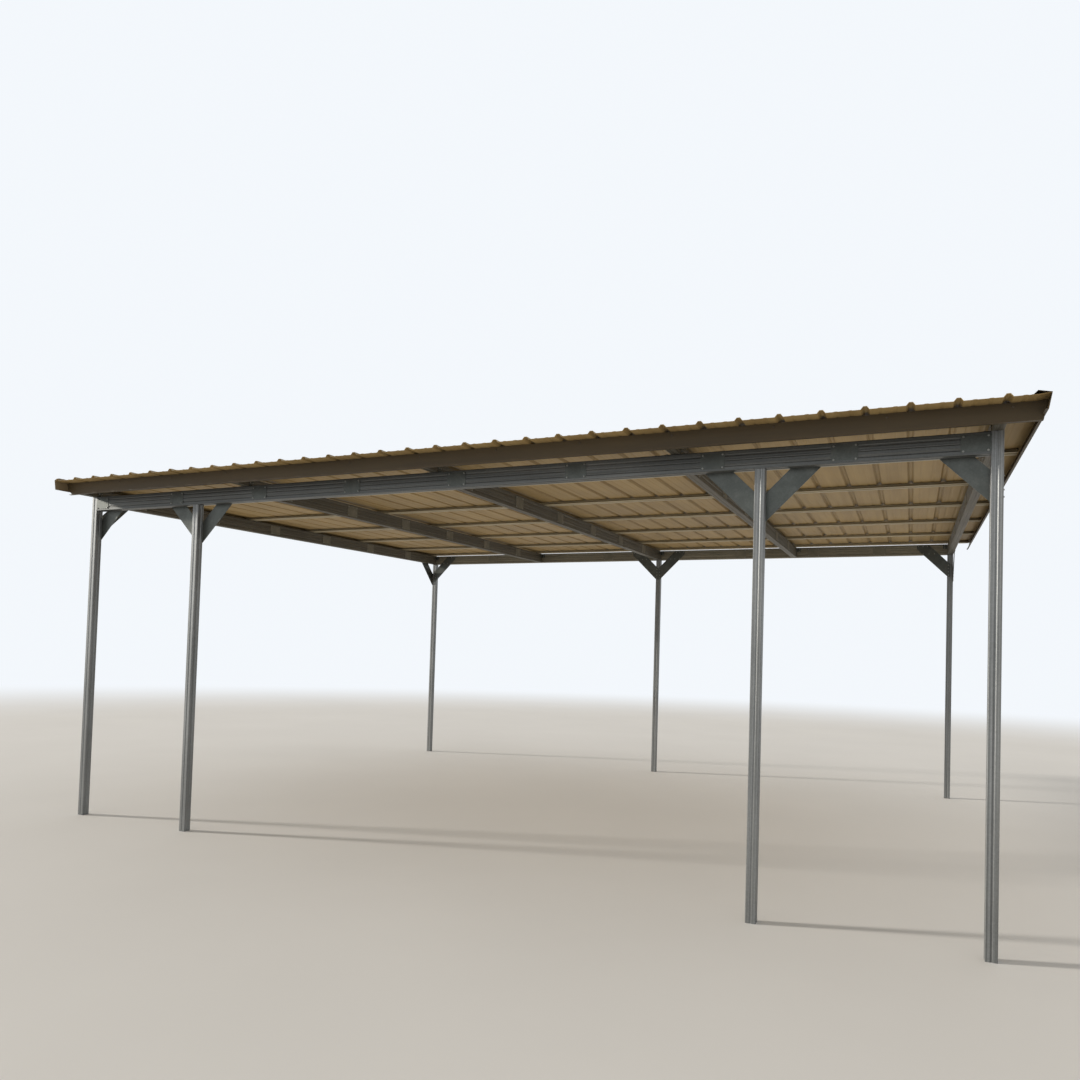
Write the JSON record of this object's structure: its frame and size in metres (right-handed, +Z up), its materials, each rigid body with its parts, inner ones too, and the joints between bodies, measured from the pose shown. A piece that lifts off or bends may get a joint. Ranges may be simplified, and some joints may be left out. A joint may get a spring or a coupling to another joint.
{
  "type": "patio cover",
  "caption": "Free-standing single-slope patio cover of ribbed square steel tube with built-up beams, knee plates, hat-channel purlins and a ribbed sheet roof with trims",
  "frame": {"origin": "middle of the bounding box in plan, at floor level under the posts", "axes": "+X along the front row to the right, +Y from the front row to the rear row, +Z up"},
  "size_m": [7.5462, 6.4264, 3.1032],
  "materials": {
    "galvanised_tube": "hot-dip galvanised, slightly dull with bright streaks",
    "galvanised_plate": "flat galvanised sheet, dull",
    "galvanised_channel": "roll-formed sheet, dull grey-tan",
    "roof_sheet": "baked tan enamel, semi-matt",
    "trim": "baked brown-tan enamel, semi-matt"
  },
  "bodies": {
    "root": {"front_post_1": "galvanised_tube", "front_post_2": "galvanised_tube", "front_post_3": "galvanised_tube", "front_post_4": "galvanised_tube", "rear_post_1": "galvanised_tube", "rear_post_2": "galvanised_tube", "rear_post_3": "galvanised_tube", "front_header": "galvanised_tube", "rear_header": "galvanised_tube", "rafter_1": "galvanised_tube", "rafter_2": "galvanised_tube", "rafter_3": "galvanised_tube", "rafter_4": "galvanised_tube", "rafter_5": "galvanised_tube", "front_header_tie_plates": "galvanised_plate", "rear_header_tie_plates": "galvanised_plate", "rafter_tie_plates": "galvanised_plate", "rafter_clips": "galvanised_plate", "front_post_1_knee_plates": "galvanised_plate", "front_post_2_knee_plates": "galvanised_plate", "front_post_3_knee_plates": "galvanised_plate", "front_post_4_knee_plates": "galvanised_plate", "rear_post_1_knee_plates": "galvanised_plate", "rear_post_2_knee_plates": "galvanised_plate", "rear_post_3_knee_plates": "galvanised_plate", "hat_channel_1": "galvanised_channel", "hat_channel_2": "galvanised_channel", "hat_channel_3": "galvanised_channel", "hat_channel_4": "galvanised_channel", "hat_channel_5": "galvanised_channel", "hat_channel_6": "galvanised_channel", "hat_channel_7": "galvanised_channel", "roof_panel_1": "roof_sheet", "roof_panel_2": "roof_sheet", "roof_panel_3": "roof_sheet", "roof_panel_4": "roof_sheet", "roof_panel_5": "roof_sheet", "roof_panel_6": "roof_sheet", "roof_panel_7": "roof_sheet", "roof_panel_8": "roof_sheet", "roof_edge_strip": "roof_sheet", "front_fascia": "trim", "left_rake_trim": "trim", "right_rake_trim": "trim"}
  },
  "joints": []
}
